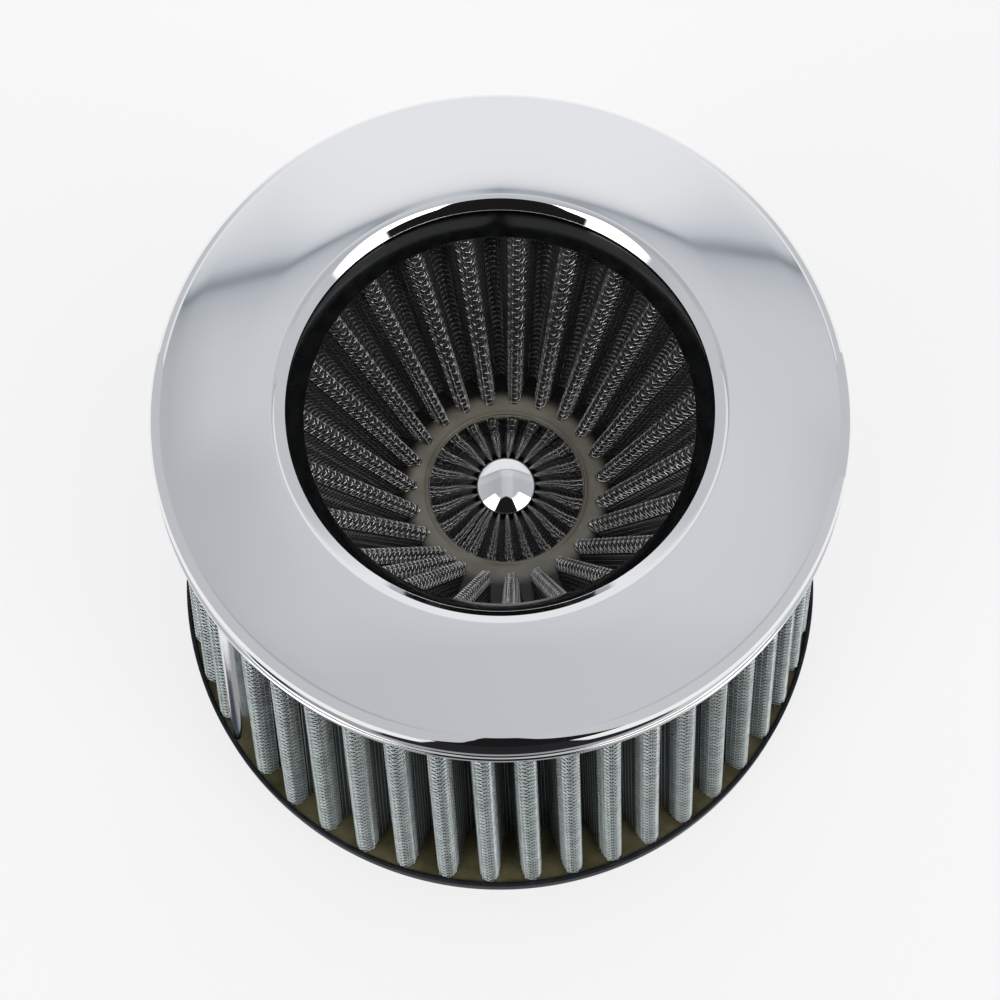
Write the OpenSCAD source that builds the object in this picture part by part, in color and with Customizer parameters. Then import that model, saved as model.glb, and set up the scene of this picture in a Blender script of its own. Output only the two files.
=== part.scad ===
// Universal round air filter: an outer pleated cone, an inverted inner cone that is open
// at the top and closed by a mirror dome, a chromed top ring, and a moulded base with
// a clamped inlet neck. Azimuth 0 is the front (-Y) and grows towards +X.
// The origin is the centre of the neck's end face, +Z runs up the filter's axis.

/* [Overall] */
// Height from the underside of the base to the face of the top ring
body_h = 137; // [110:1:170]
// Outer radius of the top ring
ring_r = 77.5; // [72:0.5:95]
// Outer radius of the base
base_r = 87.8; // [78:0.1:106]

/* [Top ring] */
// Height of the top ring, from its face to the foot of its bead
ring_h = 11.3; // [9.5:0.1:14]
// Thickness of the ring's chromed shell
ring_sheet = 1.2; // [0.8:0.1:1.6]
// Radius of the roll round the opening
lip_roll = 3.4; // [2.8:0.1:4]
// Straight drop of the lip below its roll
lip_drop = 0.8; // [0.6:0.1:1]
// Radius of the roll at the ring's outer edge
edge_roll = 3.0; // [2:0.1:3.6]
// Radius of the bead at the foot of the wall
bead_r = 1.3; // [1:0.1:1.6]
// How far the bead stands proud of the wall
bead_proud = 0.5; // [0.3:0.1:0.8]

/* [Throat ring] */
// Radial width of the funnel between the chrome lip and the pleats
funnel_w = 3.6; // [3:0.1:4.5]
// Radius of the funnel's rounded lower edge
funnel_nose = 0.9; // [0.6:0.1:1.2]
// Depth from the ring's face down to the tops of the pleats
head_depth = 9.4; // [8:0.1:10.5]
// How far the funnel's edge covers the inner pleat tips
funnel_cover = 0.4; // [0.2:0.1:0.8]

/* [Outer pleats] */
// Number of outer pleats
outer_pleats = 48; // [36:1:52]
// Overhang of the top ring beyond the pleat tips
ring_overhang = 4.2; // [3:0.1:6]
// Gap between the pleat tips and the rim of the base
rim_gap = 0.3; // [0.2:0.1:1]
// Depth of the outer pleats, tip to root
outer_depth = 15; // [12:0.5:18]
// Fold radius at the pleat tips, at the top
outer_tip_top = 2.25; // [2.1:0.05:2.7]
// Fold radius at the pleat tips, at the base
outer_tip_base = 2.5; // [2.1:0.05:3]
// Fold radius in the grooves, at the top
outer_root_top = 0.75; // [0.65:0.05:0.9]
// Fold radius in the grooves, at the base
outer_root_base = 1.1; // [0.65:0.05:1.4]
// Azimuth of the seam pleat at the base
seam_az = -57; // [-180:1:180]
// Turn of the pleats from the top to the base
outer_twist = 1.7; // [0:0.1:3]
// Greatest drift of a hand-set pleat from its even place, in degrees
pleat_drift = 3; // [0:0.1:3.2]

/* [Inner cone] */
// Number of evenly spaced inner pleats
inner_pleats = 23; // [18:1:24]
// Depth of the inner cone, from the top of its pleats to their ends
cone_depth = 48.5; // [40:0.5:58]
// Air gap between the outer and inner packs at the top
pack_gap = 3.1; // [2:0.1:5]
// Depth of the inner pleats at the top
inner_depth = 11; // [9:0.5:13]
// Depth of the inner pleats at their lower ends
inner_end_depth = 9; // [7:0.5:11]
// Fold radius at the inner pleat tips, at the top
inner_tip_top = 1.6; // [1.4:0.05:2]
// Fold radius at the inner pleat tips, at the ends
inner_tip_end = 1.4; // [1.35:0.05:1.5]
// Fold radius in the inner grooves, at the top
inner_root_top = 2.4; // [1.5:0.1:3]
// Fold radius in the inner grooves, at the ends
inner_root_end = 1.3; // [0.8:0.1:1.6]
// Turn from an even pleat to the extra pleat of the overlapped seam
overlap_turn = 7.4; // [7:0.1:8.4]
// Sideways lean of the cone's closed end
cone_lean = 1.6; // [0:0.1:2]

/* [Filter media] */
// Thickness of the outer pack's wire screens
outer_wire = 0.35; // [0.2:0.05:0.45]
// Thickness of the outer pack's cotton gauze
outer_cotton = 0.85; // [0.6:0.05:1]
// Thickness of the inner pack's wire screens
inner_wire = 0.25; // [0.15:0.05:0.3]
// Thickness of the inner pack's cotton gauze
inner_cotton = 0.6; // [0.4:0.05:0.7]

/* [Seam clip] */
// Thickness of the clip's folded strip
clip_sheet = 0.5; // [0.3:0.1:0.8]
// Share of the pleat's flank that the clip's legs cover
clip_leg = 0.6; // [0.4:0.05:0.8]
// Fold radius of the seam pleat under the clip
seam_tip = 1.85; // [1.8:0.05:2.1]

/* [Closed end] */
// Radius of the mirror dome
dome_r = 19.3; // [16:0.1:24]
// Radius of the dome's rounded tip
dome_tip_r = 19.6; // [15:0.1:21]
// Slope of the dome's straight flank
dome_slope = 40; // [30:1:45]
// Wall of the dome
dome_wall = 1.5; // [1:0.1:2]
// Depth of the dome's skirt, let into the potting
dome_skirt = 3; // [2:0.1:4]
// Ring of potting that shows between the dome and the pleat tips
end_margin = 2.6; // [2:0.1:4]
// Thickness of the potting that closes the cone
end_potting_h = 8; // [6:0.5:12]
// Width of the potting beyond the pleat roots
end_brim = 2; // [1:0.1:4]

/* [Base] */
// Height of the base's rim
base_h = 8; // [7:0.5:12]
// Width of the rim
rim_w = 1.2; // [1:0.1:3]
// Thickness of the base's floor
floor_t = 3.5; // [3:0.1:5]
// Depth of the potting poured into the base
base_potting_h = 3; // [2.5:0.1:5]
// Width of the dam that holds the potting in
dam_w = 2; // [1.5:0.1:3]
// Rounding of the base's lower edge
base_round = 2; // [1:0.1:3]

/* [Inlet neck] */
// Length of the neck below the base
neck_h = 25; // [22:0.5:32]
// Bore radius of the neck
neck_bore_r = 38; // [30:0.5:46]
// Wall of the neck
neck_wall = 4.5; // [3.5:0.1:6]
// Radius that leads from the floor into the bore
bell_r = 4; // [2:0.5:5]
// Chamfer at the bore's mouth
mouth_chamfer = 0.5; // [0.3:0.1:1]
// Height of the collar at the neck's end that keeps the clamp on
collar_h = 3; // [2:0.5:4]
// How far the collar stands proud
collar_proud = 1.2; // [0.8:0.1:2]
// Fillet between the neck and the base
neck_fillet = 3; // [1:0.5:4]

/* [Hose clamp] */
// Width of the clamp band
band_w = 12; // [9:0.5:13]
// Thickness of the clamp band
band_t = 0.7; // [0.5:0.1:1]
// Height of the band's lower edge above the neck's end
band_z = 5; // [4:0.5:6]
// Azimuth of the screw housing
housing_az = 150; // [0:5:355]
// Arc of the free end that laps over the band
tail_turn = 42; // [30:1:60]
// Length of the screw housing
housing_l = 15; // [12:0.5:20]
// Radius of the worm
worm_r = 3.2; // [2.5:0.1:4]
// Wall of the screw housing
housing_wall = 0.8; // [0.6:0.1:1.2]
// Width of the screw's hexagon across its flats
hex_flats = 7; // [6:0.5:8]
// Height of the screw's hexagon
hex_h = 5; // [4:0.5:7]

/* [Clearances] */
// Gap between a potting and the shell or cup that it fills
bond_gap = 0.05; // [0.02:0.01:0.1]
// Gap between the plies of a pleated pack
ply_gap = 0.05; // [0.02:0.01:0.1]
// Gap between the seam clip and the pleat in it
clip_gap = 0.15; // [0.05:0.05:0.3]
// Gap between the dome's skirt and the wall of its pocket
skirt_gap = 0.1; // [0.05:0.05:0.2]
// Gap between the neck and the clamp band
band_gap = 0.1; // [0.05:0.05:0.3]
// Gap round the worm in its housing
worm_gap = 0.3; // [0.2:0.05:0.4]

/* [Hidden] */
$fn = 128;

// Levels, from the neck's end face upwards
z_base = neck_h;
z_floor = z_base + floor_t;
z_resin = z_floor + base_potting_h;
z_rim = z_base + base_h;
z_top = z_base + body_h;
z_foot = z_top - ring_h;
z_lip = z_top - lip_roll - lip_drop;
z_head = z_top - head_depth;
z_end = z_head - cone_depth;

// Radii of the two packs, measured to the pleat tips
outer_top_r = ring_r - ring_overhang;
outer_base_r = base_r - rim_w - rim_gap;
inner_top_r = outer_top_r - outer_depth - pack_gap - inner_depth;
inner_end_r = dome_r + end_margin;

// The throat and the opening follow from the inner pleats
throat_r = inner_top_r - funnel_cover;
open_r = throat_r + funnel_w;
flange_r = open_r + lip_roll;

// Build-up of the packs, measured inwards from the face that meets the dirty air
outer_ply = [0, outer_wire, outer_wire + ply_gap, outer_wire + ply_gap + outer_cotton,
             outer_wire + 2 * ply_gap + outer_cotton,
             2 * outer_wire + 2 * ply_gap + outer_cotton];
inner_ply = [0, inner_wire, inner_wire + ply_gap, inner_wire + ply_gap + inner_cotton,
             inner_wire + 2 * ply_gap + inner_cotton,
             2 * inner_wire + 2 * ply_gap + inner_cotton];

chrome = [0.82, 0.84, 0.87];
black_rubber = [0.05, 0.055, 0.055];
resin = [0.24, 0.22, 0.15];
wire = [0.62, 0.68, 0.68];
cotton = [0.13, 0.15, 0.15];
aluminium = [0.80, 0.82, 0.84];
steel = [0.70, 0.71, 0.72];

// A point in plan from a radius and an azimuth
function polar(r, az) = [r * sin(az), -r * cos(az)];

// A circular arc from one angle to another, in equal steps
function arc(centre, r, from, to, steps) =
    [for (i = [0 : steps]) let (a = from + (to - from) * i / steps)
        centre + r * [cos(a), sin(a)]];

function mix(a, b, u) = a + (b - a) * u;

// The four points of one fold. side is 1 for a fold that bulges outwards, -1 inwards
fold_angles = [0, 60, 120, 180];
fold_height = sin(60);
function fold(centre_r, az, radius, side) =
    [for (k = fold_angles)
        polar(centre_r + side * radius * sin(k), az) - radius * cos(k) * polar(1, az + 90)];

// Azimuths of the outer pleats, which drift in a slow wave and close up before the seam
pleat_step = 360 / outer_pleats;
drift_waves = 1.2;
function outer_az(i) = seam_az + i * pleat_step
    + pleat_drift * sin(drift_waves * i * pleat_step);

// Azimuths of the inner pleats, with the extra pleat of the overlapped seam
inner_step = 360 / inner_pleats;
first_inner_az = -44.1;
overlap_at = 1;
function inner_az(i) = first_inner_az
    + (i == overlap_at ? inner_step - overlap_turn
       : i < overlap_at ? i * inner_step : (i - 1) * inner_step);

// One outline of the outer pack: u is 0 at the top and 1 at the base, d the depth in the ply
function outer_tip(i, u) = i == 0 ? seam_tip : mix(outer_tip_top, outer_tip_base, u);
function outer_recess(i) = i == 0 ? clip_sheet + clip_gap : 0;
function outer_root(u) = mix(outer_root_top, outer_root_base, u);
function outer_tip_centre(i, u) =
    mix(outer_top_r, outer_base_r, u) - outer_recess(i) - fold_height * outer_tip(i, u);
function outer_root_centre(u) =
    mix(outer_top_r, outer_base_r, u) - outer_depth
    + fold_height * (outer_root(u) + outer_ply[5]);
function outer_turn(u) = outer_twist * (u - 1);
function outer_tip_fold(i, u, d) =
    fold(outer_tip_centre(i, u), outer_az(i) + outer_turn(u), outer_tip(i, u) - d, 1);
function outer_root_fold(i, u, d) =
    fold(outer_root_centre(u), (outer_az(i) + next_outer_az(i)) / 2 + outer_turn(u),
         outer_root(u) + d, -1);
function next_outer_az(i) = i + 1 < outer_pleats ? outer_az(i + 1) : outer_az(0) + 360;
function outer_outline(u, d) =
    [for (i = [0 : outer_pleats - 1])
        each concat(outer_tip_fold(i, u, d), outer_root_fold(i, u, d))];

// One outline of the inner pack: u is 0 at the top and 1 at the closed end
inner_count = inner_pleats + 1;
function inner_tip(u) = mix(inner_tip_top, inner_tip_end, u);
function crowded(i) = i == overlap_at - 1 || i == overlap_at;
crowded_root = 0.45;
function inner_root(i, u) =
    crowded(i) ? crowded_root : mix(inner_root_top, inner_root_end, u);
function inner_tip_centre(u) = mix(inner_top_r, inner_end_r, u) + fold_height * inner_tip(u);
function inner_root_centre(i, u) =
    mix(inner_top_r + inner_depth, inner_end_r + inner_end_depth, u)
    - fold_height * (inner_root(i, u) + inner_ply[5]);
function next_inner_az(i) = i + 1 < inner_count ? inner_az(i + 1) : inner_az(0) + 360;
function inner_outline(u, d) =
    [for (i = [0 : inner_count - 1])
        each [for (p = concat(
            fold(inner_tip_centre(u), inner_az(i), inner_tip(u) - d, -1),
            fold(inner_root_centre(i, u), (inner_az(i) + next_inner_az(i)) / 2,
                 inner_root(i, u) + d, 1)))
            p + [cone_lean * u, 0]]];

function raise(outline, z) = [for (p = outline) [p.x, p.y, z]];

// A closed wall between four outlines of equal count: outside and inside, above and below
module pleated_wall(outside_top, outside_low, inside_top, inside_low, z_high, z_low) {
    n = len(outside_top);
    points = concat(raise(outside_top, z_high), raise(outside_low, z_low),
                    raise(inside_top, z_high), raise(inside_low, z_low));
    function strip(a, b) = [for (i = [0 : n - 1]) let (j = (i + 1) % n)
        each [[a + i, a + j, b + j], [a + i, b + j, b + i]]];
    function strip_back(a, b) = [for (f = strip(a, b)) [f[2], f[1], f[0]]];
    faces = concat(strip(0, n), strip(n, 3 * n), strip_back(2 * n, 3 * n), strip(2 * n, 0));
    polyhedron(points, faces);
}

module outer_layer(front, back) {
    pleated_wall(outer_outline(0, front), outer_outline(1, front),
                 outer_outline(0, back), outer_outline(1, back), z_head, z_resin);
}

// The inner pack's front faces the axis, so its back is the outside of the wall
module inner_layer(front, back) {
    pleated_wall(inner_outline(0, back), inner_outline(1, back),
                 inner_outline(0, front), inner_outline(1, front), z_head, z_end);
}

module outer_screen() {
    color(wire) outer_layer(outer_ply[0], outer_ply[1]);
}

module outer_gauze() {
    color(cotton) outer_layer(outer_ply[2], outer_ply[3]);
}

module outer_backing_screen() {
    color(wire) outer_layer(outer_ply[4], outer_ply[5]);
}

module inner_screen() {
    color(wire) inner_layer(inner_ply[0], inner_ply[1]);
}

module inner_gauze() {
    color(cotton) inner_layer(inner_ply[2], inner_ply[3]);
}

module inner_backing_screen() {
    color(wire) inner_layer(inner_ply[4], inner_ply[5]);
}

// Path of the seam clip round its pleat, at a height u and a distance out from the pleat
function clip_path(u, out) =
    let (left = outer_root_fold(outer_pleats - 1, u, -out),
         tip = outer_tip_fold(0, u, -out),
         right = outer_root_fold(0, u, -out))
    concat([mix(tip[0], left[3], clip_leg)], tip, [mix(tip[3], right[0], clip_leg)]);

function clip_outline(u) =
    let (outside = clip_path(u, clip_gap + clip_sheet), inside = clip_path(u, clip_gap))
    concat(outside, [for (i = [len(inside) - 1 : -1 : 0]) inside[i]]);

// The folded strip that joins the two ends of the pleated media
module outer_seam_clip() {
    top = clip_outline(0);
    low = clip_outline(1);
    n = len(top);
    half = n / 2;
    sides = [for (i = [0 : n - 1]) let (j = (i + 1) % n)
        each [[i, j, n + j], [i, n + j, n + i]]];
    function end_face(from, flip) = [for (i = [0 : half - 2])
        let (a = from + i, b = from + i + 1, c = from + n - 2 - i, d = from + n - 1 - i)
        each flip ? [[a, c, b], [a, d, c]] : [[a, b, c], [a, c, d]]];
    color(aluminium)
        polyhedron(concat(raise(top, z_head), raise(low, z_resin)),
                   concat(sides, end_face(0, true), end_face(n, false)));
}

// Section of the ring's face, rolls and wall, set in from the outside by a depth
roll_steps = 12;
function ring_section(depth, gap) =
    let (lip = [open_r + lip_roll, z_top - lip_roll],
         edge = [ring_r - edge_roll, z_top - edge_roll])
    concat([[open_r + depth + gap, z_lip]],
           arc(lip, lip_roll - depth - gap, 180, 90, roll_steps),
           arc(edge, edge_roll - depth - gap, 90, 0, roll_steps));

module top_ring() {
    bead_centre = [ring_r + bead_proud - bead_r, z_foot + bead_r];
    bead_from = acos((bead_r - bead_proud) / bead_r);
    bead_to = -acos((ring_r - ring_sheet - bead_centre.x) / bead_r);
    inside = ring_section(ring_sheet, 0);
    color(chrome)
        rotate_extrude()
            polygon(concat(ring_section(0, 0),
                           arc(bead_centre, bead_r, bead_from, bead_to, roll_steps),
                           [for (i = [len(inside) - 1 : -1 : 0]) inside[i]]));
}

// Moulded funnel between the chrome lip and the inner pleats
module throat_ring() {
    nose = [throat_r + funnel_nose, z_head + funnel_nose];
    slope = atan2(z_lip - nose.y, open_r - nose.x);
    nose_steps = 8;
    color(black_rubber)
        rotate_extrude()
            polygon(concat([[open_r, z_lip]],
                           arc(nose, funnel_nose, slope + 90, 270, nose_steps),
                           [[flange_r, z_head], [flange_r, z_lip]]));
}

// Resin that fills the top ring and holds the upper ends of both packs
module top_potting() {
    color(resin)
        rotate_extrude()
            polygon(concat([[flange_r + bond_gap, z_head], [flange_r + bond_gap, z_lip + bond_gap],
                            [open_r + ring_sheet + bond_gap, z_lip + bond_gap]],
                           [for (i = [1 : 2 * roll_steps + 2]) ring_section(ring_sheet, bond_gap)[i]],
                           [[ring_r - ring_sheet - bond_gap, z_head]]));
}

// Resin disc that closes the inner cone, with a pocket that the dome's skirt stands in
module end_potting() {
    brim_r = inner_end_r + inner_end_depth + end_brim;
    color(resin)
        translate([cone_lean, 0, 0])
            difference() {
                translate([0, 0, z_end - end_potting_h]) cylinder(r = brim_r, h = end_potting_h);
                translate([0, 0, z_end - dome_skirt])
                    cylinder(r = dome_r + skirt_gap, h = dome_skirt + 1);
            }
}

// Mirror cap over the closed end of the inner cone: a rounded tip on a straight flank
module mirror_dome() {
    flank = tan(dome_slope);
    tip_edge = dome_tip_r * sin(dome_slope);
    centre = [0, z_end + (dome_r - tip_edge) * flank - dome_tip_r * cos(dome_slope)];
    inner_tip_r = dome_tip_r - dome_wall;
    inner_r = dome_r - dome_wall;
    inner_edge = centre + inner_tip_r * [sin(dome_slope), cos(dome_slope)];
    dome_steps = 12;
    color(chrome)
        translate([cone_lean, 0, 0])
            rotate_extrude()
                polygon(concat([[inner_r, z_end - dome_skirt], [dome_r, z_end - dome_skirt],
                                [dome_r, z_end]],
                               arc(centre, dome_tip_r, 90 - dome_slope, 90, dome_steps),
                               arc(centre, inner_tip_r, 90, 90 - dome_slope, dome_steps),
                               [[inner_r, inner_edge.y - (inner_r - inner_edge.x) * flank]]));
}

// Radii of the ring of potting in the base
dam_outer_r = outer_base_r - outer_depth - dam_w;
rim_inner_r = base_r - rim_w;

// Moulded base: rimmed cup for the potting, floor, and inlet neck with an end collar
module base_ring() {
    neck_r = neck_bore_r + neck_wall;
    rim_round = rim_w / 3;
    fillet_steps = 8;
    rim_steps = 4;
    collar_to = 55;
    color(black_rubber)
        rotate_extrude()
            polygon(concat(
                [[neck_bore_r, mouth_chamfer], [neck_bore_r + mouth_chamfer, 0]],
                arc([neck_r + collar_proud - collar_h / 2, collar_h / 2], collar_h / 2,
                    -90, collar_to, fillet_steps),
                [[neck_r, collar_h]],
                arc([neck_r + neck_fillet, z_base - neck_fillet], neck_fillet,
                    180, 90, fillet_steps),
                arc([base_r - base_round, z_base + base_round], base_round,
                    -90, 0, fillet_steps),
                arc([base_r - rim_round, z_rim - rim_round], rim_round, 0, 90, rim_steps),
                arc([rim_inner_r + rim_round, z_rim - rim_round], rim_round, 90, 180, rim_steps),
                [[rim_inner_r, z_floor], [dam_outer_r, z_floor], [dam_outer_r, z_resin],
                 [dam_outer_r - dam_w, z_resin], [dam_outer_r - dam_w, z_floor]],
                arc([neck_bore_r + bell_r, z_floor - bell_r], bell_r, 90, 180, fillet_steps)));
}

// Resin poured between the rim and the dam, which holds the lower ends of the outer pack
module base_potting() {
    color(resin)
        rotate_extrude()
            translate([dam_outer_r + bond_gap, z_floor])
                square([rim_inner_r - dam_outer_r - 2 * bond_gap, base_potting_h]);
}

// Places of the hose clamp
band_r = neck_bore_r + neck_wall + band_gap;
lap_r = band_r + band_t + band_gap;
worm_axis_r = lap_r + band_t + band_gap + worm_r + worm_gap;
z_band = band_z + band_w / 2;

// Slotted steel band, whose free end laps over it under the housing and past it
module clamp_band() {
    slot_pitch = 3;
    slot_w = 1.2;
    slot_l = band_w * 0.6;
    slot_lean = 10;
    slot_floor_r = lap_r - band_gap / 2;
    slots = floor(tail_turn * PI / 180 * lap_r / slot_pitch) - 1;
    tail_az = housing_az - 90 - tail_turn / 3;
    color(steel)
        translate([0, 0, band_z])
            rotate([0, 0, tail_az])
                difference() {
                    union() {
                        rotate([0, 0, tail_turn / 2]) cylinder(r = band_r + band_t, h = band_w);
                        rotate_extrude(angle = tail_turn)
                            translate([band_r + band_t / 2, 0])
                                square([lap_r - band_r + band_t / 2, band_w]);
                    }
                    translate([0, 0, -1]) cylinder(r = band_r, h = band_w + 2);
                    for (i = [1 : slots])
                        rotate([0, 0, i * tail_turn / (slots + 1)])
                            translate([slot_floor_r, 0, band_w / 2])
                                rotate([slot_lean, 0, 0])
                                    translate([0, -slot_w / 2, -slot_l / 2])
                                        cube([2 * band_t, slot_w, slot_l]);
                }
}

// Pressed steel housing that clasps the band's edges and holds the worm
module clamp_housing() {
    roof_r = worm_r + worm_gap + housing_wall;
    seat_r = lap_r + band_t + band_gap;
    inner_w = band_w + 2 * band_gap;
    clasp = 1.5 * band_t + band_gap;
    rise = worm_axis_r - seat_r;
    color(steel)
        rotate([0, 0, housing_az - 90])
            translate([seat_r, 0, z_band])
                rotate([90, 0, 0])
                    difference() {
                        linear_extrude(housing_l, center = true) {
                            translate([rise, 0]) circle(r = roof_r);
                            translate([0, -roof_r]) square([rise, 2 * roof_r]);
                            translate([0, -inner_w / 2]) square([housing_wall, inner_w]);
                            for (side = [-1, 1])
                                translate([-clasp, side * (inner_w + housing_wall) / 2 - housing_wall / 2])
                                    square([clasp + housing_wall, housing_wall]);
                        }
                        linear_extrude(housing_l + 2, center = true) {
                            translate([rise, 0]) circle(r = worm_r + worm_gap);
                            translate([-1, -worm_r - worm_gap])
                                square([rise + 1, 2 * (worm_r + worm_gap)]);
                        }
                    }
}

// Worm screw with a slotted hexagon head
module clamp_screw() {
    hex_r = hex_flats / 2 / cos(30);
    head_gap = 0.4;
    collar_t = 1;
    driver_slot = 1;
    round_fn = 48;
    color(steel)
        rotate([0, 0, housing_az - 90])
            translate([worm_axis_r, 0, z_band])
                rotate([90, 0, 0]) {
                    cylinder(r = worm_r, h = housing_l + 2 * head_gap, center = true, $fn = round_fn);
                    translate([0, 0, housing_l / 2 + head_gap])
                        cylinder(r = hex_r, h = collar_t, $fn = round_fn);
                    translate([0, 0, housing_l / 2 + head_gap + collar_t])
                        difference() {
                            cylinder(r = hex_r, h = hex_h, $fn = 6);
                            translate([-hex_r - 1, -driver_slot / 2, hex_h / 2])
                                cube([2 * hex_r + 2, driver_slot, hex_h]);
                        }
                    translate([0, 0, -housing_l / 2 - head_gap - collar_t])
                        cylinder(r = worm_r + worm_gap, h = collar_t, $fn = round_fn);
                }
}

top_ring();
throat_ring();
top_potting();
outer_screen();
outer_gauze();
outer_backing_screen();
outer_seam_clip();
inner_screen();
inner_gauze();
inner_backing_screen();
end_potting();
mirror_dome();
base_ring();
base_potting();
clamp_band();
clamp_housing();
clamp_screw();
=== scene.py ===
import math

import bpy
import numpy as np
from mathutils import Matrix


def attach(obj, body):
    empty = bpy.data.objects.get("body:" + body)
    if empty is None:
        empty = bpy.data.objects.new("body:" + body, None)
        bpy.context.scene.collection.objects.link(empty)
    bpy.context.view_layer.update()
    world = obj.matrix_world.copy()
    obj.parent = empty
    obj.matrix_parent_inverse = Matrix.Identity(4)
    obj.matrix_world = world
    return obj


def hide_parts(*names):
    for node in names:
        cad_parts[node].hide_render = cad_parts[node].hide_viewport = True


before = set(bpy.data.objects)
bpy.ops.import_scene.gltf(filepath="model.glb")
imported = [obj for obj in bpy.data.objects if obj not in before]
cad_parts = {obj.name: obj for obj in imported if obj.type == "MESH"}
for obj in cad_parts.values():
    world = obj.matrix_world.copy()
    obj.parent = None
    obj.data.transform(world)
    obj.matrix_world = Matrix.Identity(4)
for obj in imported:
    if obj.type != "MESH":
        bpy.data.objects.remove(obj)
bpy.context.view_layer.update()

# Looks of the round air filter: smooth chrome and rubber turned from profiles, pleated packs
# with real woven wires on their ridges, resin, seam clip and clamp, in a light tent.
# Sizes are millimetres and degrees, as in part.scad. Azimuth 0 is the front (-Y), 90 is +X.

MM = 0.001

# Levels above the neck's end face
Z_BASE = 25.0
Z_FLOOR = 28.5
Z_RESIN = 31.5
Z_RIM = 33.0
Z_END = 104.1
Z_HEAD = 152.6
Z_LIP = 157.8
Z_FOOT = 150.7
Z_TOP = 162.0

# Top ring: a face between an outer roll and the opening's lip, then a wall with a hem at its foot
RING_R = 77.5
RING_SHEET = 1.2
OPEN_R = 47.4
EDGE_ROLL = 3.0
LIP_ROLL = 3.4
Z_WALL = 154.5
WALL_DRAFT = 0.11
HEM_PROUD = 0.5
HEM_H = 2.2
HEM_ROUND = 0.35

# How far the lip rolls over from level, and the bead that ends it
LIP_TURN = 40.0
LIP_END = (47.4, 160.2)
LIP_BEAD = 0.05

# How far the face drops at either roll, and the radius where that starts
LIP_SAG = 0.032
LIP_SAG_TO = 58.0
EDGE_SAG = 0.009
EDGE_SAG_FROM = 71.0

# Throat: a funnel under the lip. Heights of its seat, crest and mouth are above Z_LIP, and the
# bright wire round its lower edge is placed from the throat's radius and the pleats' heads.
THROAT_R = 43.8
FUNNEL_NOSE = 0.9
FLANGE_R = 50.8
SEAT_GAP = 0.1
SEAT_H = 0.5
CREST_H = 0.9
MOUTH_H = 0.6
MOUTH_INSET = 0.25
TRIM_OUT = 0.22
TRIM_UP = 1.0
TRIM_WIRE_R = 0.2

# Outer pack: top and base values of each size
OUTER_PLEATS = 48
OUTER_R = (73.3, 86.3)
OUTER_DEPTH = 15.0
OUTER_TIP = (2.25, 2.5)
OUTER_ROOT = (0.75, 1.1)
OUTER_PLY = 1.65
SEAM_AZ = -57.0
OUTER_TWIST = 1.7
PLEAT_DRIFT = 3.0
DRIFT_WAVES = 1.2
SEAM_TIP = 1.85
CLIP_SHEET = 0.5
CLIP_GAP = 0.15
CLIP_LEG = 0.6

# Inner pack: top and closed-end values
INNER_PLEATS = 23
INNER_R = (44.2, 21.9)
INNER_DEPTH = (11.0, 9.0)
INNER_TIP = (1.6, 1.4)
INNER_ROOT = (2.4, 1.3)
CROWDED_ROOT = 0.45
INNER_PLY = 1.2
FIRST_INNER_AZ = -44.1
OVERLAP_AT = 1
OVERLAP_TURN = 7.4
CONE_LEAN = 1.6

# Woven wire: radii of the wires across and along the ridge, middle of the weave below the
# screen's face, pitches, how far the real wires reach from each ridge's middle, and the gauze's
# face below the screen's
OUTER_WIRE_R = 0.165
OUTER_LONG_WIRE_R = 0.12
OUTER_WIRE_DEPTH = 0.2
OUTER_CROSS_PITCH = 1.38
OUTER_LONG_PITCH = 1.3
OUTER_ZONE = 5.85
OUTER_GAUZE_DEPTH = 0.45
INNER_WIRE_R = 0.19
INNER_LONG_WIRE_R = 0.12
INNER_WIRE_DEPTH = 0.15
INNER_CROSS_PITCH = 1.36
INNER_LONG_PITCH = 1.4
INNER_ZONE = 3.5
INNER_GAUZE_DEPTH = 0.3
BACK_PITCH = (1.4, 1.4)
WIRE_SHARE = 0.3  # of a pitch that a wire covers, in the flanks' pattern
WEAVE_LIFT = 1.1  # of a wire's radius by which it passes over or under

# Closed end
DOME_R = 19.3
DOME_TIP_R = 19.6
DOME_SLOPE = 40.0
DOME_SKIRT = 3.0

# Base
BASE_R = 87.8
RIM_W = 1.2
BASE_ROUND = 2.0
DAM_OUTER_R = 69.3
DAM_W = 2.0
BELL_R = 4.0
NECK_BORE_R = 38.0
NECK_R = 42.5
NECK_FILLET = 3.0
COLLAR_H = 3.0
COLLAR_PROUD = 1.2
MOUTH_CHAMFER = 0.5
BOND_GAP = 0.05
END_BRIM_R = 32.9
END_H = 8.0
POCKET_R = 19.4

# Resin creeps up what it touches. Points of its edge: off the dome's pocket and above the
# closed end, and off the base's rim and above the resin's level
POCKET_CREEP = ((1.3, 0.0), (0.8, 0.08), (0.45, 0.3), (0.2, 0.35), (0.0, 0.2))
RIM_CREEP = ((BOND_GAP, 0.2), (0.15, 0.1), (0.35, 0.0))

AXIS_R = 0.001  # keeps a turned piece's points on the axis apart


# ---------------------------------------------------------------- meshes

def mix(pair, u):
    """The value a share u of the way through a pair."""
    return pair[0] + (pair[1] - pair[0]) * u


def polar(r, az):
    """Points in plan from radii and azimuths in degrees."""
    a = np.radians(az)
    return np.stack([r * np.sin(a), -r * np.cos(a)], -1)


def add_object(name, data):
    """An object in the scene, of a mesh, lamp or camera."""
    obj = bpy.data.objects.new(name, data)
    bpy.context.scene.collection.objects.link(obj)
    return obj


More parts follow.
